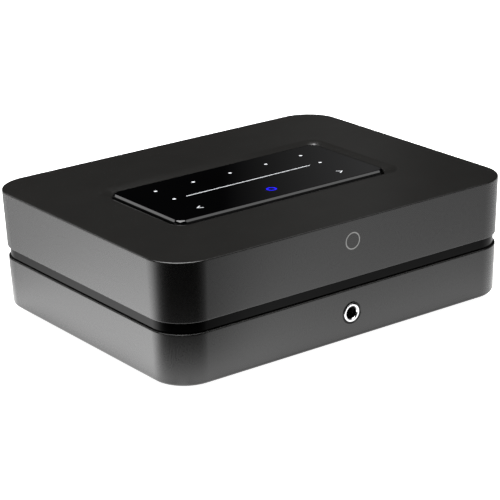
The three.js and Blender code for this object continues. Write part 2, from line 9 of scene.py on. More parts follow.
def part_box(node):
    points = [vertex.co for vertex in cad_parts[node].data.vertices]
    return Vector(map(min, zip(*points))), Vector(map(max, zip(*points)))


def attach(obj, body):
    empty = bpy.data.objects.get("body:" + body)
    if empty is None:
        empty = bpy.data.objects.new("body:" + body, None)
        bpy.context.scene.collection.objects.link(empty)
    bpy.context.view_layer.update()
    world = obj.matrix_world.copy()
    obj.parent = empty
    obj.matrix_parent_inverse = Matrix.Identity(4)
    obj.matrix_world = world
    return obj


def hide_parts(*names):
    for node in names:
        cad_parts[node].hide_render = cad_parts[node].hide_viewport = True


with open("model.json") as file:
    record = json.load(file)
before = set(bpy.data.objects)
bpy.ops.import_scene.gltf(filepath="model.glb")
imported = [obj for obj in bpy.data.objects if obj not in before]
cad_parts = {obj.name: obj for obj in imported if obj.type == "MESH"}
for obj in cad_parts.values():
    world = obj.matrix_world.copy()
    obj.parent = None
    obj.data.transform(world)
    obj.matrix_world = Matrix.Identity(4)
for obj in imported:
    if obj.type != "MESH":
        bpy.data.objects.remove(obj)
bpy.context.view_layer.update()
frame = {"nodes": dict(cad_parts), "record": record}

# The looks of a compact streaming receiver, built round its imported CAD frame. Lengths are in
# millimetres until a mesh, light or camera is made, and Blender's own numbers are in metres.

MM = 0.001
TURN = 2 * math.pi
SCENE = bpy.context.scene


def extent(node):
    """The lowest corner, highest corner and middle of a CAD node, in millimetres."""
    low, high = (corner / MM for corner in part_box(node))
    return low, high, (low + high) / 2


# Driving dimensions: the frame's own, and the few that its boxes don't tell
UPPER_LOW, UPPER_HIGH, CASE_MIDDLE = extent("upper_shell")
LOWER_LOW, LOWER_HIGH, _ = extent("lower_shell")
BAND_LOW, BAND_HIGH, _ = extent("waist_band")
GLASS_LOW, GLASS_HIGH, GLASS_MIDDLE = extent("touch_glass")
PANEL_LOW, PANEL_HIGH, _ = extent("rear_panel")
CASE_WIDTH = UPPER_HIGH.x - UPPER_LOW.x
CASE_DEPTH = UPPER_HIGH.y - UPPER_LOW.y
FRONT_Y = UPPER_LOW.y
BACK_Y = UPPER_HIGH.y
TOP_Z = UPPER_HIGH.z
UPPER_BOTTOM_Z = BAND_HIGH.z + (BAND_LOW.z - LOWER_HIGH.z)
BASE_Z = LOWER_LOW.z
PANEL_Y = PANEL_HIGH.y
CORNER_R, TOP_EDGE_R, BOTTOM_EDGE_R = 21.0, 0.7, 2.6
CORNER_STEPS = 28
DRAFT = 2.2
WALL = 2.5
LEDGE, LEDGE_INSET = 2.0, 6.2
GAP = 0.3
RECESS_WIDTH, RECESS_DEPTH, RECESS_R, RECESS_DROP = 148.0, 79.0, 9.0, 2.5
GLASS_R = 5.0
GLASS_BEVEL = 1.05
GLASS_MARGIN = 0.6
WINDOW_X, WINDOW_Z = 89.0, (11.5, 29.5)
SOCKET_BORE_R = 3.25
BOSS_R, SCREW_HOLE_R, FOOT_HOLE_R = 4, 1.8, 2.9
SCREWS = [f"case_screw_{i}" for i in (1, 2, 3, 4)]
FEET = [f"foot_{i}" for i in (1, 2, 3, 4)]
POSTS = (1, 2, 3, 4)
VENT_ROWS = (-34, 6)
VENT_PITCH, VENT_HALF_WIDTH, VENT_HALF_LENGTH = 12, 2, 14
PEG_R = 3
PEG_SPOTS = [(-86, -48), (-24, -72), (-24, 2), (-68, 58), (-8, -82), (84, -82), (86, 20), (-52, 58), (6, 58)]
MINI_JACKS = ("optical_analogue_jack", "infrared_input_jack")
MINI_JACK_Z = 17.4
INLET_RIM = 1.5


# ---------------------------------------------------------------- meshes

def finish_mesh(name, bm, sharp=32):
    """A smooth-shaded object from a bmesh in millimetres, with hard edges above an angle in degrees."""
    bmesh.ops.remove_doubles(bm, verts=bm.verts, dist=1e-5)
    bmesh.ops.recalc_face_normals(bm, faces=bm.faces)
    bmesh.ops.scale(bm, vec=(MM, MM, MM), verts=bm.verts)
    mesh = bpy.data.meshes.new(name)
    bm.to_mesh(mesh)
    bm.free()
    piece = bpy.data.objects.new(name, mesh)
    SCENE.collection.objects.link(piece)
    return shade(piece, sharp)


def shade(piece, sharp=32):
    piece.data.shade_smooth()
    piece.data.set_sharp_from_angle(angle=math.radians(sharp))
    return piece


def weighted(piece):
    """Keeps large flat faces flat beside their rounded edges."""
    modifier = piece.modifiers.new("weighted", "WEIGHTED_NORMAL")
    modifier.keep_sharp = True
    return piece


def applied(piece, sharp=32):
    """Makes the modifiers so far part of the mesh."""
    bpy.context.view_layer.update()
    mesh = bpy.data.meshes.new_from_object(piece.evaluated_get(bpy.context.evaluated_depsgraph_get()))
    piece.modifiers.clear()
    piece.data = mesh
    return shade(piece, sharp)


def combine(piece, others, operation, sharp=32):
    for other in others:
        modifier = piece.modifiers.new("combine", "BOOLEAN")
        modifier.operation = operation
        modifier.solver = "EXACT"
        modifier.object = other
        applied(piece, sharp)
        bpy.data.objects.remove(other)
    return piece


def carved(piece, *cutters):
    return combine(piece, cutters, "DIFFERENCE")


def joined(piece, *others):
    return combine(piece, others, "UNION")


def bevelled(piece, width, segments=3, angle=40):
    """Rounds the hard edges, by a width in millimetres."""
    modifier = piece.modifiers.new("bevel", "BEVEL")
    modifier.width = width * MM
    modifier.segments = segments
    modifier.limit_method = "ANGLE"
    modifier.angle_limit = math.radians(angle)
    modifier.miter_outer = "MITER_ARC"
    return applied(piece)


def loft(name, rings, loop=False):
    """A closed skin through rings of points: round in a loop, or with a flat face at each end."""
    bm = bmesh.new()
    rows = [[bm.verts.new(point) for point in ring] for ring in rings]
    pairs = list(zip(rows, rows[1:] + ([rows[0]] if loop else [])))
    for lower, upper in pairs:
        for i in range(len(lower)):
            j = (i + 1) % len(lower)
            bm.faces.new((lower[i], lower[j], upper[j], upper[i]))
    if not loop:
        bm.faces.new(rows[0])
        bm.faces.new(rows[-1])
    return finish_mesh(name, bm)


def ring(width, depth, radius, z, centre=None, steps=CORNER_STEPS):
    """The points of a level rounded rectangle."""
    cx, cy = centre or CASE_MIDDLE.xy
    points = []
    for quarter, (sx, sy) in enumerate(((1, 1), (-1, 1), (-1, -1), (1, -1))):
        for i in range(steps + 1):
            angle = (quarter + i / steps) * TURN / 4
            x = sx * (width / 2 - radius) + radius * math.cos(angle)
            y = sy * (depth / 2 - radius) + radius * math.sin(angle)
            points.append((cx + x, cy + y, z))
    return points


def draft_at(z):
    """How far the casing's sides have leaned in at a height."""
    return DRAFT * max(TOP_Z - TOP_EDGE_R - z, 0) / (TOP_Z - BASE_Z)


def face_y(z):
    """Where the leaning front face stands at a height."""
    return FRONT_Y + draft_at(z)


def case_ring(inset, z):
    inwards = inset + draft_at(z)
    return ring(CASE_WIDTH - 2 * inwards, CASE_DEPTH - 2 * inwards, CORNER_R - inwards, z)


def glass_ring(margin, z):
    width = GLASS_HIGH.x - GLASS_LOW.x + 2 * margin
    depth = GLASS_HIGH.y - GLASS_LOW.y + 2 * margin
    return ring(width, depth, GLASS_R + margin, z, GLASS_MIDDLE.xy)


def edge_rings(radius, inset, z, kind, steps=6):
    """Rings of a quarter-round edge that ends at an inset and a height, on a low or a top rim."""
    rings = []
    for i in range(steps + 1):
        angle = (i / steps) * TURN / 4
        falling, rising = radius * (1 - math.sin(angle)), radius * (1 - math.cos(angle))
        if kind == "low":
            rings.append(case_ring(inset + falling, z + rising))
        else:
            rings.append(case_ring(inset + rising, z - falling))
    return rings


def filleted(points, radius, closed=True, steps=5):
    """A polygon with its corners turned into arcs. A third number in a point is its own radius."""
    count = len(points)
    outline = []
    for i, point in enumerate(points):
        here = Vector(point[:2])
        r = point[2] if len(point) > 2 else radius
        if r == 0 or (not closed and i in (0, count - 1)):
            outline.append(here)
            continue
        before = (Vector(points[i - 1][:2]) - here)
        after = (Vector(points[(i + 1) % count][:2]) - here)
        half = before.angle(after) / 2
        reach = min(r / math.tan(half), 0.48 * before.length, 0.48 * after.length)
        r = reach * math.tan(half)
        middle = here + (before.normalized() + after.normalized()).normalized() * (r / math.sin(half))
        start = here + before.normalized() * reach - middle
        end = here + after.normalized() * reach - middle
        sweep = start.angle_signed(end)
        for k in range(steps + 1):
            outline.append(middle + Matrix.Rotation(-sweep * k / steps, 2) @ start)
    return [tuple(point) for point in outline]


AXES = {
    "x": lambda u, v, t: (t, u, v),
    "y": lambda u, v, t: (u, t, v),
    "z": lambda u, v, t: (u, v, t),
}


def turned(name, profile, axis="y", centre=(0, 0, 0), sides=64, closed=True, shape=None, sharp=32):
    """A lathe piece. The profile is [radius, distance] points, closed, or open from axis to axis.
    shape(angle, radius, distance) may change a point's radius."""
    bm = bmesh.new()
    place = AXES[axis]
    centre = Vector(centre)
    rows = []
    for r, t in profile:
        if r < 1e-6:
            rows.append([bm.verts.new(centre + Vector(place(0, 0, t)))])
            continue
        row = []
        for i in range(sides):
            angle = TURN * i / sides
            radius = shape(angle, r, t) if shape else r
            point = place(radius * math.cos(angle), radius * math.sin(angle), t)
            row.append(bm.verts.new(centre + Vector(point)))
        rows.append(row)
    for lower, upper in zip(rows, rows[1:] + ([rows[0]] if closed else [])):
        for i in range(sides):
            j = (i + 1) % sides
            corners = [lower[i % len(lower)], lower[j % len(lower)]]
            corners += [upper[j % len(upper)], upper[i % len(upper)]]
            corners = [c for k, c in enumerate(corners) if c not in corners[:k]]
            if len(corners) > 2:
                bm.faces.new(corners)
    return finish_mesh(name, bm, sharp)


def circle(x, y, radius, sides=48):
    angles = [TURN * i / sides for i in range(sides)]
    return [(x + radius * math.cos(angle), y + radius * math.sin(angle)) for angle in angles]


def rectangle(x0, x1, y0, y1, radius=0.0, steps=5):
    corners = [(x0, y0), (x1, y0), (x1, y1), (x0, y1)]
    return filleted(corners, radius, steps=steps) if radius else corners


def prism(name, outlines, start, end, axis="y"):
    """A straight piece between two distances along an axis. Outlines after the first are holes."""
    bm = bmesh.new()
    place = AXES[axis]
    edges = []
    for outline in outlines:
        corners = [bm.verts.new(place(u, v, start)) for u, v in outline]
        edges += [bm.edges.new((corners[i - 1], corners[i])) for i in range(len(corners))]
    if len(outlines) == 1:
        bm.faces.new(corners)
    else:
        bmesh.ops.triangle_fill(bm, use_beauty=True, use_dissolve=False, edges=edges)
    grown = bmesh.ops.extrude_face_region(bm, geom=list(bm.faces))
    moved = [item for item in grown["geom"] if isinstance(item, bmesh.types.BMVert)]
    bmesh.ops.translate(bm, vec=Vector(place(0, 0, end - start)), verts=moved)
    return finish_mesh(name, bm)


# ---------------------------------------------------------------- materials

def finish(name, colour, roughness, metallic=0.0, spread=0.12, uneven=0.04, grain=0.5, bump=0.0,
           stretch=(1, 1, 1), **sockets):
    """A material whose colour and roughness drift with a soft noise, over a fine grain of a size and
    height in millimetres. stretch draws the grain out along an axis, as brushing does."""
    material = bpy.data.materials.new(name)
    material.use_nodes = True
    nodes, links = material.node_tree.nodes, material.node_tree.links
    shader = nodes["Principled BSDF"]
    shader.inputs["Metallic"].default_value = metallic
    for socket, value in sockets.items():
        shader.inputs[socket.replace("_", " ")].default_value = value
    place = nodes.new("ShaderNodeTexCoord")

    def noise(size, detail, scale=(1, 1, 1)):
        mapping = nodes.new("ShaderNodeMapping")
        mapping.inputs["Scale"].default_value = scale
        texture = nodes.new("ShaderNodeTexNoise")
        texture.inputs["Scale"].default_value = 1 / (size * MM)
        texture.inputs["Detail"].default_value = detail
        links.new(place.outputs["Object"], mapping.inputs["Vector"])
        links.new(mapping.outputs["Vector"], texture.inputs["Vector"])
        return texture.outputs["Fac"]

    drift = noise(18, 3)
    fine = noise(grain, 2, stretch)
    ramp = nodes.new("ShaderNodeValToRGB")
    for stop, factor in zip(ramp.color_ramp.elements, (1 - spread, 1 + spread)):
        stop.color = (*[channel * factor for channel in colour], 1)
    ramp.color_ramp.elements[0].position = 0.3
    ramp.color_ramp.elements[1].position = 0.7
    links.new(drift, ramp.inputs["Fac"])
    links.new(ramp.outputs["Color"], shader.inputs["Base Color"])
    gloss = nodes.new("ShaderNodeMapRange")
    gloss.inputs["To Min"].default_value = max(roughness - uneven, 0.01)
    gloss.inputs["To Max"].default_value = min(roughness + uneven, 1)
    links.new(fine, gloss.inputs["Value"])
    links.new(gloss.outputs["Result"], shader.inputs["Roughness"])
    if bump:
        relief = nodes.new("ShaderNodeBump")
        relief.inputs["Distance"].default_value = bump * MM
        relief.inputs["Strength"].default_value = 1
        links.new(fine, relief.inputs["Height"])
        links.new(relief.outputs["Normal"], shader.inputs["Normal"])
    return material


SHELL_BLACK = (0.0112, 0.0109, 0.0103)
SHELL = finish("shell_satin", SHELL_BLACK, 0.27, spread=0.05, uneven=0.03, grain=0.35, bump=0.0006, IOR=1.5)
SHELL_TOP = finish("shell_smooth_top", SHELL_BLACK, 0.19, spread=0.05, uneven=0.03, grain=0.35, bump=0.0004,
                   IOR=1.5)
BAND = finish("band_black", (0.003, 0.003, 0.003), 0.09, spread=0.1, uneven=0.02, grain=0.5, IOR=1.145)
BASE = finish("base_black", (0.014, 0.014, 0.014), 0.55, grain=0.5, bump=0.01)
RUBBER = finish("foot_rubber", (0.012, 0.012, 0.012), 0.8, spread=0.2, grain=0.4, bump=0.02)
GLASS = finish("panel_glass", (0.0004, 0.0004, 0.0005), 0.04, spread=0.1, uneven=0.01, grain=3, IOR=1.5)
INNER = finish("inner_plastic", (0.015, 0.015, 0.016), 0.5, bump=0.004)
MARK = finish("mark_print", (0.24, 0.24, 0.235), 0.3, 1.0, spread=0.04)
PRINT = finish("panel_print", (0.30, 0.30, 0.30), 0.5, spread=0.04)
CHROME = finish("socket_chrome", (0.74, 0.74, 0.75), 0.24, 1.0, spread=0.03, uneven=0.03, grain=0.3,
                stretch=(1, 8, 1))
SOCKET_RING = finish("socket_ring", (0.018, 0.018, 0.019), 0.3, 0.3, grain=0.4)
REAR_PLATE = finish("rear_plate", (0.020, 0.020, 0.021), 0.5, 0.0, grain=0.25, bump=0.008)
STEEL = finish("screw_steel", (0.06, 0.06, 0.063), 0.35, 1.0, grain=0.3, bump=0.002)
PORT_PLASTIC = finish("port_plastic", (0.012, 0.012, 0.013), 0.4, grain=0.4, bump=0.002)
PORT_BLUE = finish("port_blue", (0.02, 0.06, 0.22), 0.4, grain=0.4, bump=0.002)
PORT_GREY = finish("port_grey", (0.12, 0.12, 0.12), 0.4, grain=0.4, bump=0.002)
PORT_VIOLET = finish("port_violet", (0.10, 0.02, 0.14), 0.4, grain=0.4, bump=0.002)
NICKEL = finish("port_nickel", (0.60, 0.60, 0.58), 0.24, 1.0, spread=0.05, uneven=0.06, grain=0.3,
                bump=0.0008, stretch=(1, 1, 6))
GOLD = finish("terminal_gold", (0.80, 0.56, 0.22), 0.22, 1.0, spread=0.05, uneven=0.06, grain=0.25,
              bump=0.0008, stretch=(1, 6, 1))
CAP_RED = finish("cap_red", (0.36, 0.012, 0.014), 0.28, spread=0.08, grain=0.4, bump=0.001, Coat_Weight=0.3)
CAP_BLACK = finish("cap_black", (0.012, 0.012, 0.013), 0.28, spread=0.08, grain=0.4, bump=0.001,
                   Coat_Weight=0.3)
BOARD = finish("circuit_board", (0.012, 0.075, 0.030), 0.4, grain=0.8, bump=0.01)
BOARD_BLACK = finish("board_black", (0.012, 0.014, 0.016), 0.4, grain=0.8, bump=0.01)
HEATSINK = finish("heatsink_aluminium", (0.52, 0.53, 0.55), 0.35, 1.0, grain=0.3, bump=0.004,
                  stretch=(1, 0.1, 1))
TAPE = finish("transformer_tape", (0.55, 0.38, 0.08), 0.5, grain=0.6, bump=0.03, stretch=(1, 1, 4))
FERRITE = finish("ferrite", (0.045, 0.047, 0.050), 0.75, grain=0.3, bump=0.02)
SLEEVE = finish("capacitor_sleeve", (0.014, 0.016, 0.020), 0.35, grain=1.5, bump=0.01)
FILM = finish("ribbon_film", (0.42, 0.19, 0.03), 0.3, grain=0.8, bump=0.004)


def glowing(name, colour, strength):
    """A lit symbol: an even glow behind a satin print."""
    material = finish(name, [channel * 0.5 for channel in colour], 0.3, spread=0.05)
    shader = material.node_tree.nodes["Principled BSDF"]
    shader.inputs["Emission Color"].default_value = (*colour, 1)
    shader.inputs["Emission Strength"].default_value = strength
    return material


SYMBOL = glowing("symbol_white", (0.85, 0.87, 0.90), 0.45)
SYMBOL_DIM = glowing("symbol_dim", (0.85, 0.87, 0.90), 0.32)
SYMBOL_BLUE = glowing("symbol_blue", (0.012, 0.008, 0.80), 0.62)


def painted(piece, material, slot, *nodes, body="casing"):
    """Gives a piece its material, lets it stand for CAD nodes, and lets it ride on its body. The slot is not
    used.
    """
    piece.data.materials.clear()
    piece.data.materials.append(material)
    if nodes:
        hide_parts(*nodes)
    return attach(piece, body)


# ---------------------------------------------------------------- casing

def screw_boss(spot, start, end):
    profile = [(SCREW_HOLE_R, start), (BOSS_R, start), (BOSS_R, end), (SCREW_HOLE_R, end)]
    return turned("boss", profile, "z", (spot.x, spot.y, 0), 32)


def upper_shell():
    ceiling = TOP_Z - 2.8
    frame_floor = TOP_Z - RECESS_DROP - 2.2
    low = UPPER_BOTTOM_Z
    steps = 18
    slope = []
    for i in range(steps + 1):
        t = i / steps
        drop = RECESS_DROP * t ** 1.5
        width = RECESS_WIDTH + (GLASS_HIGH.x - GLASS_LOW.x + 2 * GLASS_MARGIN - RECESS_WIDTH) * t
        depth = RECESS_DEPTH + (GLASS_HIGH.y - GLASS_LOW.y + 2 * GLASS_MARGIN - RECESS_DEPTH) * t
        radius = RECESS_R + (GLASS_R + GLASS_MARGIN - RECESS_R) * t
        slope.append(ring(width, depth, radius, TOP_Z - drop))
    rings = [
        case_ring(LEDGE_INSET, low),
        case_ring(0.9, low),
        *edge_rings(0.45, 0, low, "low"),
        case_ring(0, low + 1.2),
        case_ring(0, TOP_Z - 1.6),
        *edge_rings(TOP_EDGE_R, 0, TOP_Z, "top"),
        case_ring(1.8, TOP_Z),
        ring(RECESS_WIDTH + 2, RECESS_DEPTH + 2, RECESS_R + 1, TOP_Z),
        *slope,
        glass_ring(GLASS_MARGIN, frame_floor),
        ring(RECESS_WIDTH + 6, RECESS_DEPTH + 6, RECESS_R + 3, frame_floor),
        ring(RECESS_WIDTH + 6, RECESS_DEPTH + 6, RECESS_R + 3, ceiling),
        case_ring(WALL, ceiling),
        case_ring(WALL, low + LEDGE),
        case_ring(LEDGE_INSET, low + LEDGE),
    ]
    shell = loft("upper_case_shell", rings, loop=True)
    bosses = []
    for node in SCREWS:
        spot = extent(node)[2]
        bosses.append(screw_boss(spot, BAND_LOW.z, ceiling + 0.6))
    shell = painted(weighted(joined(shell, *bosses)), SHELL, "shell_satin", "upper_shell")
    shell.data.materials.append(SHELL_TOP)
    for face in shell.data.polygons:
        if face.normal.z > 0.6 and face.center.z > (TOP_Z - RECESS_DROP - 0.5) * MM:
            face.material_index = 1
    return shell


def waist_band():
    low, high = BAND_LOW.z, BAND_HIGH.z
    outer = CASE_WIDTH / 2 - BAND_HIGH.x - draft_at(high)
    rings = [
        case_ring(LEDGE_INSET - 0.6, low),
        case_ring(outer + 0.3, low),
        case_ring(outer, low + 0.3),
        case_ring(outer, high - 0.3),
        case_ring(outer + 0.3, high),
        case_ring(LEDGE_INSET - 0.6, high),
    ]
    return painted(weighted(loft("waist_trim_band", rings, loop=True)), BAND, "band_black", "waist_band")


def lower_shell():
    low, high = LOWER_LOW.z, LOWER_HIGH.z
    seat = low + LEDGE + GAP
    rings = [
        case_ring(WALL + 1, low),
        *edge_rings(BOTTOM_EDGE_R, 0, low, "low", steps=10),
        case_ring(0, low + 5),
        case_ring(0, high - 1.6),
        *edge_rings(0.65, 0, high, "top"),
        case_ring(1.0, high),
        case_ring(LEDGE_INSET, high),
        case_ring(LEDGE_INSET, high - LEDGE),
        case_ring(WALL, high - LEDGE),
        case_ring(WALL, seat + LEDGE),
        case_ring(LEDGE_INSET, seat + LEDGE),
        case_ring(LEDGE_INSET, seat),
        case_ring(WALL + 1, seat),
    ]
    shell = loft("lower_case_shell", rings, loop=True)
    ring_low, ring_high, ring_middle = extent("jack_surround")
    hole = (ring_high.x - ring_low.x) / 2 + 0.12
    profile = [(0, -2), (hole + 2.3, -2), (hole, 0.3), (hole, WALL + 2), (0, WALL + 2)]
    socket_hole = turned("hole", profile, "y", (ring_middle.x, face_y(ring_middle.z), ring_middle.z), 64,
                         closed=False)
    window = rectangle(-WINDOW_X, WINDOW_X, *WINDOW_Z, 2.0, steps=8)
    opening = prism("window", [window], PANEL_Y + 0.1, BACK_Y + 1)
    shell = carved(shell, socket_hole, opening)
    tubes = []
    for node in SCREWS:
        spot = extent(node)[2]
        side = math.copysign(1, spot.x)
        tubes.append(screw_boss(spot, seat, high))
        web = sorted((side * 99, side * 106.5))
        tubes.append(prism("web", [rectangle(*web, spot.y - 1.5, spot.y + 1.5)], seat, high, "z"))
    shell = joined(shell, *tubes)
    return painted(weighted(shell), SHELL, "shell_satin", "lower_shell")


def touch_panel():
    bevel, round_off = GLASS_BEVEL, 0.08
    rings = [
        glass_ring(-0.2, GLASS_LOW.z),
        glass_ring(0, GLASS_LOW.z + 0.2),
        glass_ring(0, GLASS_HIGH.z - bevel - round_off),
        glass_ring(-round_off, GLASS_HIGH.z - bevel + round_off),
        glass_ring(-bevel + round_off, GLASS_HIGH.z - round_off),
        glass_ring(-bevel - round_off, GLASS_HIGH.z),
        glass_ring(-bevel - 0.5, GLASS_HIGH.z),
    ]
    return painted(weighted(loft("touch_panel_glass", rings)), GLASS, "panel_glass", "touch_glass")


def symbol(name, outlines, material=SYMBOL):
    """A flat lit symbol on the glass, from outlines round the glass's middle."""
    lift = 0.02
    cx, cy, _ = GLASS_MIDDLE
    moved = [[(cx + x, cy + y) for x, y in outline] for outline in outlines]
    piece = prism(name, moved, GLASS_HIGH.z - lift, GLASS_HIGH.z + lift, "z")
    return painted(piece, material, "mark_print")


def touch_symbols():
    spacing = 24.03
    for i in range(-2, 3):
        symbol(f"preset_dot_{i + 3}", [circle(i * spacing, 17.9, 0.95, 24)])
    symbol("volume_line", [rectangle(-40.7, 40.7, 0.15, 0.85, 0.3)], SYMBOL_DIM)
    for side, name in ((-1, "volume_dot_low"), (1, "volume_dot_high")):
        symbol(name, [circle(side * 2 * spacing, 0.8, 0.95, 24)])
    for side, name in ((-1, "skip_back_arrow"), (1, "skip_forward_arrow")):
        arrow = [(-1.6, 2.2), (1.6, 0), (-1.6, -2.2), (-1.6, -1.5), (0.6, 0), (-1.6, 1.5)]
        points = [(side * (46.2 + x), -19.0 + y) for x, y in arrow]
        symbol(name, [points])
    symbol("play_ring", [circle(0, -19.0, 2.9, 48), circle(0, -19.0, 1.75, 48)], SYMBOL_BLUE)


def front_mark():
    low, high, middle = extent("front_mark")
    outer = (high.x - low.x) / 2
    line_width, depth, proud = 0.6, 0.2, 0.03
    profile = [(outer - line_width, depth), (outer, depth), (outer, -proud), (outer - line_width, -proud)]
    ring_mark = turned("front_ring_mark", filleted(profile, 0.02, steps=2), "y", sides=96)
    lean = Matrix.Rotation(math.atan2(DRAFT, TOP_Z - BASE_Z), 4, "X")
    place = Vector((middle.x, face_y(middle.z), middle.z)) * MM
    ring_mark.data.transform(Matrix.Translation(place) @ lean)
    return painted(ring_mark, MARK, "mark_print", "front_mark")


# ---------------------------------------------------------------- headphone socket

def headphone_socket():
    low, high, middle = extent("jack_ferrule")
    at = (middle.x, 0, middle.z)
    face, back = low.y, high.y
    bore, outer = SOCKET_BORE_R, (high.x - low.x) / 2
    profile = filleted([
        (bore, face + 0.75, 0.1), (bore + 0.45, face + 0.12, 0.25), (outer - 0.1, face, 0.45),
        (outer, back, 0.05), (bore, back, 0.05),
    ], 0.1)
    ferrule = turned("socket_ferrule", profile, "y", at, 96)
    painted(weighted(ferrule), CHROME, "socket_chrome", "jack_ferrule")
    low, high, _ = extent("jack_surround")
    rim = (high.x - low.x) / 2
    profile = filleted([
        (outer + GAP, low.y, 0.15), (rim, low.y, 0.25), (rim, high.y), (outer + GAP, high.y),
    ], 0.05)
    surround = turned("socket_surround_ring", profile, "y", at, 96)
    painted(weighted(surround), SOCKET_RING, "socket_ring", "jack_surround")
    low, high, _ = extent("headphone_jack")
    body = prism("headphone_jack_body", [rectangle(low.x, high.x, low.z, high.z, 0.6)], low.y, high.y)
    profile = [(0, low.y - 1), (bore, low.y - 1), (bore, high.y - 3), (0, high.y - 3)]
    hole = turned("bore", profile, "y", at, 64, closed=False)
    painted(bevelled(carved(body, hole), 0.15), PORT_PLASTIC, "port_plastic", "headphone_jack")


# ---------------------------------------------------------------- underside

def merged(name, pieces):
    """Several separate bodies as one mesh."""
    bm = bmesh.new()
    for piece in pieces:
        bm.from_mesh(piece.data)
        bpy.data.objects.remove(piece)
    bmesh.ops.scale(bm, vec=(1 / MM, 1 / MM, 1 / MM), verts=bm.verts)
    return finish_mesh(name, bm)


def flat(points):
    return [(x, y) for x, y, _ in points]


def base_plate():
    peg_tip = extent("base_plate")[1].z
    top = BASE_Z + LEDGE
    outlines = [flat(case_ring(WALL + 1 + GAP, BASE_Z))]
    for y in VENT_ROWS:
        for k in range(-4, 5):
            x = VENT_PITCH * k
            outlines.append(rectangle(x - VENT_HALF_WIDTH, x + VENT_HALF_WIDTH, y - VENT_HALF_LENGTH,
                                      y + VENT_HALF_LENGTH, VENT_HALF_WIDTH - 0.1, steps=8))
    for node in SCREWS:
        spot = extent(node)[2]
        outlines.append(circle(spot.x, spot.y, SCREW_HOLE_R, 32))
    for node in FEET:
        spot = extent(node)[2]
        outlines.append(circle(spot.x, spot.y, FOOT_HOLE_R, 32))
    plate = bevelled(prism("plate", outlines, BASE_Z, top, "z"), 0.35, 2)
    profile = filleted([(0, top - 0.4), (PEG_R, top - 0.4), (PEG_R, peg_tip, 0.4), (0, peg_tip)], 0, steps=3)
    pegs = [turned("peg", profile, "z", (x, y, 0), 32, closed=False) for x, y in PEG_SPOTS]
    painted(weighted(merged("underside_plate", [plate, *pegs])), BASE, "base_black", "base_plate")


def feet():
    for i, node in enumerate(FEET, 1):
        low, high, middle = extent(node)
        radius = (high.x - low.x) / 2
        top = BASE_Z - GAP
        profile = filleted([
            (0, 0.6), (5.2, 0.6, 0.3), (6.0, 0, 0.3), (radius - 0.9, 0, 0.5), (radius, 1.0, 0.6),
            (radius - 0.25, top, 0.5), (2.6, top, 0.2), (2.6, high.z - 1, 0.3), (1.6, high.z, 0.3),
            (0, high.z),
        ], 0, closed=False)
        pad = turned(f"rubber_foot_{i}", profile, "z", (middle.x, middle.y, 0), 64, closed=False)
        painted(pad, RUBBER, "foot_rubber", node)


def cross_screw(name, node, axis, outward):
    """A domed screw with a cross recess. outward is the way its head faces along the axis."""
    low, high, middle = extent(node)
    index = "xyz".index(axis)
    crown, tip = (high[index], low[index]) if outward > 0 else (low[index], high[index])
    head = [(0, 0), (1.4, 0.08), (2.2, 0.4), (2.7, 0.95), (2.8, 1.3), (2.8, 1.7), (1.5, 1.7)]
    profile = [(r, crown - outward * t) for r, t in head] + [(1.5, tip + outward * 0.3), (1.2, tip), (0, tip)]
    centre = [middle.x, middle.y, middle.z]
    centre[index] = 0
    piece = turned(name, profile, axis, centre, 40, closed=False)
    slots = []
    span = sorted((crown + outward, crown - outward * 1.15))
    u, v = [centre[k] for k in range(3) if k != index]
    for half_u, half_v in ((1.55, 0.3), (0.3, 1.55)):
        arm = rectangle(u - half_u, u + half_u, v - half_v, v + half_v, 0.12)
        slots.append(prism("slot", [arm], *span, axis))
    painted(bevelled(carved(piece, *slots), 0.05, 2), STEEL, "screw_steel", node)


def screws():
    for i, node in enumerate(SCREWS, 1):
        cross_screw(f"casing_screw_{i}", node, "z", -1)
    for i in (1, 2):
        cross_screw(f"connector_panel_screw_{i}", f"panel_screw_{i}", "y", 1)


# ---------------------------------------------------------------- connector panel

def rear_panel():
    low, high, _ = extent("rear_panel")
    outlines = [rectangle(low.x, high.x, low.z, high.z, 1.5)]
    for i in POSTS:
        spot = extent(f"post_stud_{i}")[2]
        outlines.append(circle(spot.x, spot.z, 4.3))
    for i in (1, 2):
        spot = extent(f"panel_screw_{i}")[2]
        outlines.append(circle(spot.x, spot.z, SCREW_HOLE_R, 24))
    for node in MINI_JACKS:
        spot = extent(node)[2]
        outlines.append(circle(spot.x, MINI_JACK_Z, 4.1))
    spot = extent("sub_output")[2]
    outlines.append(circle(spot.x, spot.z, 4.9))
    for node in ("hdmi_port", "usb_port", "lan_port"):
        a, b, _ = extent(node)
        outlines.append(rectangle(a.x - GAP, b.x + GAP, a.z - GAP, b.z + GAP, 0.4))
    a, b, _ = extent("mains_inlet")
    rim = INLET_RIM - GAP
    outlines.append(rectangle(a.x + rim, b.x - rim, a.z + rim, b.z - rim, 0.5))
    plate = prism("connector_plate", outlines, low.y, high.y)
    painted(weighted(bevelled(plate, 0.25, 2)), REAR_PLATE, "rear_plate", "rear_panel")
    for name, pair in (("terminal_frame_left", (1, 2)), ("terminal_frame_right", (3, 4))):
        a, b = (extent(f"post_stud_{i}")[2] for i in pair)
        reach = 7.6
        box = (a.x - reach, b.x + reach, a.z - reach, a.z + reach)
        inner = (box[0] + 0.35, box[1] - 0.35, box[2] + 0.35, box[3] - 0.35)
        frame_print = prism(name, [rectangle(*box, 2), rectangle(*inner, 1.65)], high.y - 0.05, high.y + 0.03)
        painted(frame_print, PRINT, "mark_print")


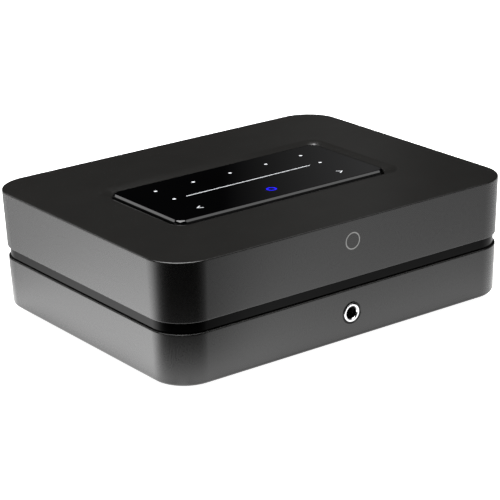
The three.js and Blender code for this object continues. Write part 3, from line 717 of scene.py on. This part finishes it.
def mains_inlet():
    low, high, middle = extent("mains_inlet")
    z = middle.z
    body = prism("mains_inlet_body", [
        rectangle(low.x + INLET_RIM, high.x - INLET_RIM, low.z + INLET_RIM, high.z - INLET_RIM, 0.6),
    ], low.y, high.y - 0.4)
    flange = prism("flange", [rectangle(low.x, high.x, low.z, high.z, 2.2)], PANEL_Y + GAP, high.y)
    mouth = []
    lobe_r, lobe_spread, sides = 4.3, 3.4, 64
    for i in range(sides):
        angle = TURN * (i + 0.5) / sides
        shift = math.copysign(lobe_spread, math.cos(angle))
        mouth.append((middle.x + shift + lobe_r * math.cos(angle), z + lobe_r * math.sin(angle)))
    hole = prism("mouth", [mouth], high.y - 14, high.y + 1)
    inlet = carved(joined(body, flange), hole)
    holes = []
    for i in (1, 2):
        pin = extent(f"inlet_pin_{i}")[2]
        holes.append(prism("pin_hole", [circle(pin.x, pin.z, 1.5, 24)], low.y - 1, high.y - 13))
    painted(weighted(bevelled(carved(inlet, *holes), 0.3)), PORT_PLASTIC, "port_plastic", "mains_inlet")
    for i in (1, 2):
        a, b, spot = extent(f"inlet_pin_{i}")
        profile = filleted([(0, a.y), (1.2, a.y), (1.2, b.y, 0.9), (0, b.y)], 0, closed=False)
        pin = turned(f"mains_contact_pin_{i}", profile, "y", (spot.x, 0, spot.z), 32, closed=False)
        painted(pin, NICKEL, "port_nickel", f"inlet_pin_{i}")


def contacts(name, node, count, pitch, width, z, thickness, start, end):
    """A row of flat gold contacts, centred on a port."""
    spot = extent(node)[2]
    row = []
    for k in range(count):
        x = spot.x + (k - (count - 1) / 2) * pitch
        row.append(prism("contact", [rectangle(x - width / 2, x + width / 2, z, z + thickness)], start, end))
    painted(merged(name, row), GOLD, "terminal_gold")


def metal_port(name, node, mouth, tongue, depth):
    """A folded metal socket with an open mouth and a plastic tongue inside."""
    low, high, middle = extent(node)
    body = prism(name, [rectangle(low.x, high.x, low.z, high.z, 0.5)], low.y, high.y)
    hole = prism("mouth", [mouth], high.y - depth, high.y + 1)
    painted(weighted(bevelled(carved(body, hole), 0.12, 2)), NICKEL, "port_nickel", node)
    x, z0, z1, back_off = tongue
    section = rectangle(middle.x - x, middle.x + x, z0, z1, 0.15)
    blade = prism(f"{name}_tongue", [section], high.y - depth - 0.5, high.y - back_off)
    painted(bevelled(blade, 0.1, 2), PORT_PLASTIC, "port_plastic")


def sockets():
    low, high, m = extent("hdmi_port")
    z0, z1, at = low.z, high.z, high.y
    mouth = filleted([
        (m.x - 7, z1 - 0.5), (m.x + 7, z1 - 0.5), (m.x + 7, z0 + 2.1), (m.x + 5.2, z0 + 0.6),
        (m.x - 5.2, z0 + 0.6), (m.x - 7, z0 + 2.1),
    ], 0.4)
    metal_port("hdmi_socket", "hdmi_port", mouth, (5.9, z0 + 3.1, z0 + 4, 1.2), 10)
    contacts("hdmi_contacts", "hdmi_port", 10, 1.0, 0.45, z0 + 3.04, 0.1, at - 9, at - 1.9)
    low, high, m = extent("usb_port")
    z0, z1, at = low.z, high.z, high.y
    mouth = rectangle(m.x - 6.2, m.x + 6.2, z0 + 0.4, z1 - 0.4, 0.3)
    metal_port("usb_socket", "usb_port", mouth, (5.5, z1 - 2.9, z1 - 1, 1.0), 12)
    contacts("usb_contacts", "usb_port", 4, 2.4, 1.1, z1 - 2.96, 0.1, at - 9, at - 2.2)
    low, high, m = extent("lan_port")
    z0, z1, at = low.z, high.z, high.y
    body = prism("network_socket", [rectangle(low.x, high.x, low.z, high.z, 0.5)], low.y, high.y)
    mouth = [
        (m.x - 5.9, z1 - 1.4), (m.x + 5.9, z1 - 1.4), (m.x + 5.9, z0 + 4), (m.x + 3, z0 + 4),
        (m.x + 3, z0 + 1.2), (m.x - 3, z0 + 1.2), (m.x - 3, z0 + 4), (m.x - 5.9, z0 + 4),
    ]
    body = carved(body, prism("mouth", [filleted(mouth, 0.25)], at - 15, at + 1))
    painted(weighted(bevelled(body, 0.12, 2)), NICKEL, "port_nickel", "lan_port")
    contacts("network_contacts", "lan_port", 8, 1.02, 0.4, z1 - 1.75, 0.3, at - 14, at - 2.5)


def small_sockets():
    spot = extent("sub_output")[2]
    centre, at = (spot.x, 0, spot.z), PANEL_Y
    shell_r, liner_r, core_r, pin_r = 4.3, 4.15, 3.7, 1.7
    collar = turned("sub_output_collar", filleted([
        (shell_r, at - 8), (shell_r + 0.3, at - 8), (shell_r + 0.3, at + GAP), (5.4, at + GAP),
        (5.4, at + 1.5, 0.5), (shell_r, at + 1.5, 0.1),
    ], 0.05), "y", centre, 64)
    painted(collar, PORT_PLASTIC, "port_plastic", "sub_output")
    barrel = turned("sub_output_barrel", filleted([
        (core_r, at - 7), (liner_r, at - 7), (liner_r, at + 8.5, 0.2), (core_r, at + 8.5, 0.2),
    ], 0.05), "y", centre, 64)
    painted(barrel, GOLD, "terminal_gold")
    core = turned("sub_output_insulator", filleted([
        (pin_r, at - 7), (core_r, at - 7), (core_r, at + 1), (2.9, at + 1), (2.9, at + 7.5, 0.3),
        (pin_r, at + 7.5, 0.2),
    ], 0.05), "y", centre, 48)
    painted(core, PORT_VIOLET, "port_plastic")
    mini_jack(MINI_JACKS[0], "optical_analogue_socket", PORT_BLUE)
    mini_jack(MINI_JACKS[1], "infrared_socket", PORT_GREY)


def mini_jack(node, name, colour):
    """A 3.5 mm socket: a body inside, a round nose through the panel and a coloured ring round its bore."""
    low, high, middle = extent(node)
    seat, at = low.y, high.y
    centre = (middle.x, 0, MINI_JACK_Z)
    nose_r, bore_r = 3.8, 1.8
    body = prism(name, [rectangle(low.x, high.x, low.z, high.z, 0.5)], seat, PANEL_LOW.y - GAP)
    profile = filleted([(0, seat + 6), (nose_r, seat + 6), (nose_r, at, 0.4), (0, at)], 0, closed=False)
    nose = turned("nose", profile, "y", centre, 64, closed=False)
    profile = [(0, seat + 2), (bore_r, seat + 2), (bore_r, at - 0.4), (bore_r + 0.4, at + 0.2), (0, at + 0.2)]
    hole = turned("bore", profile, "y", centre, 48, closed=False)
    painted(bevelled(carved(joined(body, nose), hole), 0.1, 2), PORT_PLASTIC, "port_plastic", node)
    collar = filleted([
        (1.95, at - 0.3), (3.1, at - 0.3), (3.1, at - 0.02, 0.1), (2.15, at - 0.02, 0.1),
    ], 0.02)
    painted(turned(f"{name}_ring", collar, "y", centre, 64), colour, "port_plastic")


def binding_post(number):
    low, high, m = extent(f"post_stud_{number}")
    at = (m.x, PANEL_Y, m.z)
    stud_r, banana_r, pitch, thread_depth, thread_start, steps = 2.5, 2.05, 1.0, 0.24, 4.6, 6
    tip = high.y - PANEL_Y
    profile = [(0, low.y - PANEL_Y), (stud_r, low.y - PANEL_Y), (stud_r, 4.4)]
    rows = int((tip - 0.6 - thread_start) / pitch * steps)
    profile += [(stud_r, thread_start + k * pitch / steps) for k in range(rows + 1)]
    profile += [(stud_r - 0.15, tip), (banana_r, tip), (banana_r, 8), (0, 8)]

    def thread(angle, r, t):
        if r < stud_r - 1e-6 or t < thread_start - 0.05:
            return r
        phase = (t / pitch - angle / TURN) % 1
        return r - thread_depth * (1 - abs(2 * phase - 1))

    stud = turned(f"terminal_stud_{number}", profile, "y", at, 48, closed=False, shape=thread, sharp=60)
    hole = turned("wire_hole", [(0, -4), (0.95, -4), (0.95, 4), (0, 4)], "z", (m.x, PANEL_Y + 6.5, m.z), 24,
                  closed=False)
    painted(carved(stud, hole), GOLD, "terminal_gold", f"post_stud_{number}")
    low, high, _ = extent(f"post_collar_{number}")
    outer = (high.x - low.x) / 2
    profile = filleted([
        (stud_r + GAP, -4.5), (4, -4.5), (4, GAP), (outer, GAP, 0.2), (outer, 3.8, 0.6),
        (outer - 0.9, 4.5, 0.3), (4.6, 4.5, 0.1), (4.3, 4.1, 0.1), (3.6, 4.1, 0.1), (3.4, 4.5, 0.1),
        (stud_r + GAP, 4.5),
    ], 0.05)
    painted(weighted(turned(f"terminal_collar_{number}", profile, "y", at, 64)), PORT_PLASTIC, "port_plastic",
            f"post_collar_{number}")
    low, high, _ = extent(f"post_washer_{number}")
    outer = (high.x - low.x) / 2
    profile = filleted([(stud_r + GAP, 4.8), (outer, 4.8), (outer, 5.6), (stud_r + GAP, 5.6)], 0.15, steps=3)
    washer = turned(f"terminal_washer_{number}", profile, "y", at, 64)
    painted(washer, GOLD, "terminal_gold", f"post_washer_{number}", body=f"clamp_washer_{number}")
    low, high, _ = extent(f"post_cap_{number}")
    outer = (high.x - low.x) / 2
    start, end = low.y - PANEL_Y, high.y - PANEL_Y
    profile = filleted([
        (stud_r + GAP, start), (outer, start, 0.3), (outer, start + 2.2, 0.2),
        (outer - 0.35, start + 2.5, 0.15), (outer - 0.35, start + 2.9, 0.15), (outer, start + 3.2, 0.2),
        (outer, start + 4.2, 0), (outer, end - 2.2, 0), (outer, end, 0.9), (stud_r + 1.3, end, 0.3),
        (stud_r + 0.9, end - 0.5, 0.2), (stud_r + GAP, end - 0.5),
    ], 0.05)
    flute_count, flute_depth, flute_start, fade_length = 18, 0.5, 3.4, 0.8

    def flutes(angle, r, t):
        if r < outer - 1.0 or t < start + flute_start:
            return r
        fade = min((t - start - flute_start) / fade_length, 1)
        return r - flute_depth * fade * (0.5 + 0.5 * math.cos(flute_count * angle)) ** 2

    material = CAP_RED if number % 2 else CAP_BLACK
    cap = turned(f"terminal_cap_{number}", profile, "y", at, 216, shape=flutes, sharp=50)
    painted(cap, material, "cap_red" if number % 2 else "cap_black", f"post_cap_{number}",
            body=f"screw_cap_{number}")


# ---------------------------------------------------------------- stage, light and camera

FLOOR_GLOW = 1.0
WALL_GLOW, ROOM_GLOW = 0.135, 0.004
# What the card shows of the studio. Directions are in degrees round the casing's near corner: 0 is its right,
# 90 the back, 180 its left and -90 the front, which stays dark. A light begins, is full, fades and ends, and
# has a level far from the casing and one beside it, which add to the stray light and to the ground's glow.
CARD_LIGHTS = {
    "dim_room": (-90, -40, 150, 196, 0.62, 0),
    "right_wall": (-66, -42, -5, 45, 0.45, 0.3),
    "right_panel": (-66, -44, -44, -26, 0.4, 0),
    "left_panel": (80, 144, 144, 174, 2.37, 0),
    "lit_near_corner": (132, 146, 146, 200, 0, 0.8),
    "shaded_back": (-105, 5, 70, 118, 0, -2.1),
}
STRAY_GLOW, GROUND_GLOW = 0.02, 3.9
CARD_REACH = 38.0


def stage():
    """A plain pale floor, and under it a card that only polished surfaces see."""
    floor = prism("floor", [rectangle(-4000, 4000, -4000, 4000)], -12, -0.2, "z")
    material = bpy.data.materials.new("floor_white")
    material.use_nodes = True
    shader = material.node_tree.nodes["Principled BSDF"]
    shader.inputs["Base Color"].default_value = (0.85, 0.85, 0.85, 1)
    shader.inputs["Roughness"].default_value = 0.9
    shader.inputs["Specular IOR Level"].default_value = 0.0
    shader.inputs["Emission Color"].default_value = (1, 1, 1, 1)
    shader.inputs["Emission Strength"].default_value = FLOOR_GLOW
    floor.data.materials.append(material)
    floor.visible_glossy = False
    floor.visible_diffuse = False
    reflection_card()


def smooth(value, start, end):
    """Rises softly from 0 at the start to 1 at the end."""
    t = min(max((value - start) / (end - start), 0), 1)
    return t * t * (3 - 2 * t)


def card_brightness(x, y):
    """Brightness of the card at a point in millimetres: high beside the casing, and a slow change beyond."""
    corner = Vector((UPPER_LOW.x + CORNER_R, FRONT_Y + CORNER_R))
    offset = Vector((x, y)) - corner
    angle = (math.degrees(math.atan2(offset.y, offset.x)) + 135) % 360 - 135
    far, near = STRAY_GLOW, GROUND_GLOW
    for begins, full, fades, ends, far_level, near_level in CARD_LIGHTS.values():
        share = smooth(angle, begins, full) * (1 - smooth(angle, fades, ends))
        far += far_level * share
        near += near_level * share
    dx = max(abs(x - CASE_MIDDLE.x) - CASE_WIDTH / 2 + CORNER_R, 0)
    dy = max(abs(y - CASE_MIDDLE.y) - CASE_DEPTH / 2 + CORNER_R, 0)
    distance = max(math.hypot(dx, dy) - CORNER_R, 0)
    closeness = math.exp(-(distance / CARD_REACH) ** 2)
    far *= 1 + 0.5 * math.exp(-(distance / 100) ** 2)
    contact_shade = 0.42 + 0.58 * smooth(distance, 2, 14)
    return (far * (1 - closeness) + near * closeness) * contact_shade


def reflection_card():
    half, step = 1400, 14
    count = 2 * half // step
    bm = bmesh.new()
    grid = [[bm.verts.new((-half + i * step, -half + j * step, -2)) for i in range(count + 1)]
            for j in range(count + 1)]
    for j in range(count):
        for i in range(count):
            bm.faces.new((grid[j][i], grid[j][i + 1], grid[j + 1][i + 1], grid[j + 1][i]))
    card = finish_mesh("reflection_card", bm)
    levels = card.data.attributes.new("brightness", "FLOAT", "POINT")
    levels.data.foreach_set("value", [card_brightness(v.co.x / MM, v.co.y / MM) for v in card.data.vertices])
    material = bpy.data.materials.new("card_light")
    material.use_nodes = True
    nodes, links = material.node_tree.nodes, material.node_tree.links
    nodes.clear()
    level = nodes.new("ShaderNodeAttribute")
    level.attribute_name = "brightness"
    light = nodes.new("ShaderNodeEmission")
    output = nodes.new("ShaderNodeOutputMaterial")
    links.new(level.outputs["Fac"], light.inputs["Strength"])
    links.new(light.outputs["Emission"], output.inputs["Surface"])
    material.cycles.emission_sampling = "NONE"
    card.data.materials.append(material)
    card.visible_camera = False
    card.visible_diffuse = False
    card.visible_transmission = False
    card.visible_volume_scatter = False
    card.visible_shadow = False
    return card


def softbox(name, place, target, size, power, glossy=True):
    """A square area light, in metres and watts, aimed at a point."""
    light = bpy.data.lights.new(name, "AREA")
    light.shape = "RECTANGLE"
    light.size, light.size_y = size
    light.energy = power
    lamp = bpy.data.objects.new(name, light)
    lamp.location = place
    lamp.rotation_euler = (Vector(target) - Vector(place)).to_track_quat("-Z", "Y").to_euler()
    lamp.visible_camera = False
    lamp.visible_glossy = glossy
    SCENE.collection.objects.link(lamp)


def surroundings():
    """White where the camera sees past the floor, and a dim studio for everything else, with a lighter
    wall low down on the right that the glass shows as a soft gradient."""
    world = bpy.data.worlds.new("studio")
    world.use_nodes = True
    nodes, links = world.node_tree.nodes, world.node_tree.links
    nodes.clear()

    def ramp(source, low, high, start, end, kind="SMOOTHSTEP"):
        node = nodes.new("ShaderNodeMapRange")
        node.interpolation_type = kind
        for socket, value in (("From Min", low), ("From Max", high), ("To Min", start), ("To Max", end)):
            node.inputs[socket].default_value = value
        links.new(source, node.inputs["Value"])
        return node.outputs["Result"]

    def times(a, b):
        node = nodes.new("ShaderNodeMath")
        node.operation = "MULTIPLY"
        links.new(a, node.inputs[0])
        links.new(b, node.inputs[1])
        return node.outputs["Value"]

    place = nodes.new("ShaderNodeTexCoord")
    across = nodes.new("ShaderNodeVectorMath")
    across.operation = "DOT_PRODUCT"
    across.inputs[1].default_value = (0.8, -0.6, 0)
    links.new(place.outputs["Generated"], across.inputs[0])
    split = nodes.new("ShaderNodeSeparateXYZ")
    links.new(place.outputs["Generated"], split.inputs["Vector"])
    side = times(ramp(across.outputs["Value"], -0.026, 0.045, 0, WALL_GLOW, "LINEAR"),
                 ramp(across.outputs["Value"], 0.045, 0.075, 1, 0))
    back = ramp(split.outputs["Y"], 0.2, 0.5, 0, 1)
    level = times(times(side, back), times(ramp(split.outputs["Z"], 0.25, 0.275, 0, 1),
                                           ramp(split.outputs["Z"], 0.335, 0.36, 1, 0)))
    lifted = nodes.new("ShaderNodeMath")
    lifted.operation = "ADD"
    lifted.inputs[1].default_value = ROOM_GLOW
    links.new(level, lifted.inputs[0])
    path = nodes.new("ShaderNodeLightPath")
    seen = nodes.new("ShaderNodeBackground")
    seen.inputs["Color"].default_value = (1, 1, 1, 1)
    room = nodes.new("ShaderNodeBackground")
    room.inputs["Color"].default_value = (1, 1, 1, 1)
    links.new(lifted.outputs["Value"], room.inputs["Strength"])
    mix = nodes.new("ShaderNodeMixShader")
    output = nodes.new("ShaderNodeOutputWorld")
    links.new(path.outputs["Is Camera Ray"], mix.inputs["Fac"])
    links.new(room.outputs["Background"], mix.inputs[1])
    links.new(seen.outputs["Background"], mix.inputs[2])
    links.new(mix.outputs["Shader"], output.inputs["Surface"])
    SCENE.world = world


def camera():
    """A view from the front left: azimuth, elevation and a small roll, then target and distance in metres."""
    azimuth, elevation, roll = (math.radians(a) for a in (-36.037, 19.531, -1.646))
    target = Vector((-0.00265, -0.0110, 0.03201))
    distance = 1.08272
    level = math.cos(elevation)
    back = Vector((math.sin(azimuth) * level, -math.cos(azimuth) * level, math.sin(elevation)))
    right = Vector((0, 0, 1)).cross(back).normalized()
    up = back.cross(right)
    turn = Matrix.Rotation(roll, 3, back)
    data = bpy.data.cameras.new("camera")
    data.lens = 146.11
    data.sensor_width = 36
    data.clip_start, data.clip_end = 0.01, 50
    view = bpy.data.objects.new("camera", data)
    axes = Matrix((turn @ right, turn @ up, back)).transposed()
    view.matrix_world = Matrix.Translation(target + back * distance) @ axes.to_4x4()
    SCENE.collection.objects.link(view)
    SCENE.camera = view


camera()
surroundings()
stage()
softbox("key_overhead", (-0.145, 0.115, 1.3), (-0.145, 0.115, 0), (1.22, 1.24), 40)
softbox("left_bevel_panel", (-0.50, 1.14, 0.86), (0, 0, 0.07), (0.9, 0.3), 1.9)
softbox("front_bevel_panel", (0.83, -0.50, 1.19), (0, 0, 0.07), (0.6, 0.4), 1.7)
softbox("rear_fill", (0.3, 1.8, 0.7), (0, 0, 0.03), (1.2, 0.8), 8, glossy=False)
SCENE.view_settings.view_transform = "Standard"

upper_shell()
waist_band()
lower_shell()
touch_panel()
touch_symbols()
front_mark()
headphone_socket()
base_plate()
feet()
screws()
rear_panel()
mains_inlet()
sockets()
small_sockets()
for post in POSTS:
    binding_post(post)

LOOKS = {
    "shell_satin": SHELL, "band_black": BAND, "base_black": BASE, "foot_rubber": RUBBER, "panel_glass": GLASS,
    "inner_plastic": INNER, "mark_print": MARK, "socket_chrome": CHROME, "socket_ring": SOCKET_RING,
    "rear_plate": REAR_PLATE, "screw_steel": STEEL, "port_plastic": PORT_PLASTIC, "port_nickel": NICKEL,
    "terminal_gold": GOLD, "cap_red": CAP_RED, "cap_black": CAP_BLACK, "circuit_board": BOARD,
    "board_black": BOARD_BLACK, "heatsink_aluminium": HEATSINK, "transformer_tape": TAPE, "ferrite": FERRITE,
    "capacitor_sleeve": SLEEVE, "ribbon_film": FILM,
}
for part in frame["record"]["subparts"]:
    for slot in frame["nodes"][part["node"]].material_slots:
        slot.material = LOOKS[part["material_slot"]]
